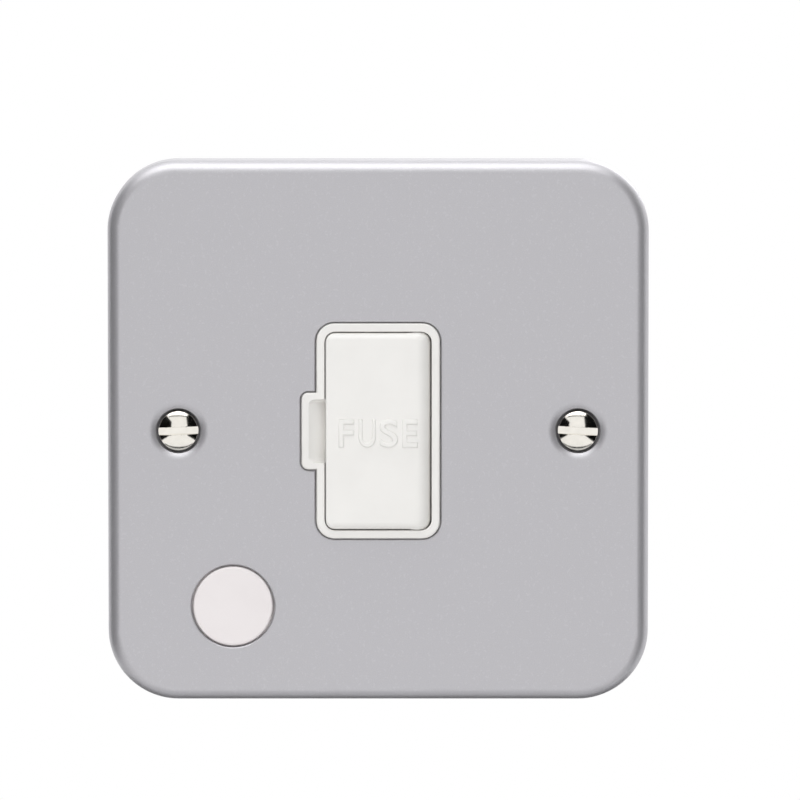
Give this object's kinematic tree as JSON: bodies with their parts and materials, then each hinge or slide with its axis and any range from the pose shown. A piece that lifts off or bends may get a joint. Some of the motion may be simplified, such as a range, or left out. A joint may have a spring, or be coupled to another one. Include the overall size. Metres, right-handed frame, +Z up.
{
  "type": "fused spur unit",
  "caption": "Unswitched fused connection unit: square metal-clad plate with a hinged white fuse carrier, blanked flex outlet, and terminals behind it.",
  "frame": {"origin": "middle of the two fixing screws, in the plane of the plate's rear rim", "axes": "+Y into the wall along the fixing screws, the front faces -Y; +Z up; +X to the right as seen from the front"},
  "size_m": [0.0816, 0.0268, 0.0816],
  "materials": {
    "plate_paint": "silver-grey satin paint with a very fine metallic speck",
    "nickel_plate": "bright nickel plate",
    "fibre": "red vulcanised fibre",
    "white_moulding": "white thermoset, satin gloss",
    "white_carrier": "white thermoset, satin gloss",
    "white_blank": "white thermoplastic, satin",
    "base_moulding": "white thermoset, satin",
    "fuse_ceramic": "unglazed off-white ceramic",
    "cap_nickel": "nickel-plated brass",
    "spring_bronze": "phosphor bronze strip",
    "terminal_brass": "machined brass",
    "zinc_plate": "bright zinc plate",
    "stud_steel": "copper-flashed weld stud"
  },
  "bodies": {
    "unit": {"front_plate": "plate_paint", "fixing_screws": "nickel_plate", "screw_retaining_washers": "fibre", "front_moulding": "white_moulding", "supply_fuse_clip": "spring_bronze", "load_fuse_clip": "spring_bronze", "terminal_base": "base_moulding", "supply_live_terminal": "terminal_brass", "supply_neutral_terminal": "terminal_brass", "load_live_terminal": "terminal_brass", "load_neutral_terminal": "terminal_brass", "supply_earth_terminal": "terminal_brass", "load_earth_terminal": "terminal_brass", "terminal_screws": "zinc_plate", "neutral_link": "terminal_brass", "earth_strap": "terminal_brass", "plate_studs": "stud_steel", "stud_washers": "zinc_plate", "stud_nuts": "zinc_plate", "base_joining_screws": "zinc_plate", "flex_outlet_blank": "white_blank", "cord_grip_bar": "base_moulding", "cord_grip_screws": "zinc_plate"},
    "carrier": {"fuse_carrier": "white_carrier", "fuse_barrel": "fuse_ceramic", "fuse_end_caps": "cap_nickel"}
  },
  "joints": [
    {"name": "carrier_hinge", "type": "hinge", "parent": "unit", "child": "carrier", "pos_m": [0.0057, -0.007, 0], "axis": [0, 0, 1], "range_deg": [0, 90]}
  ]
}
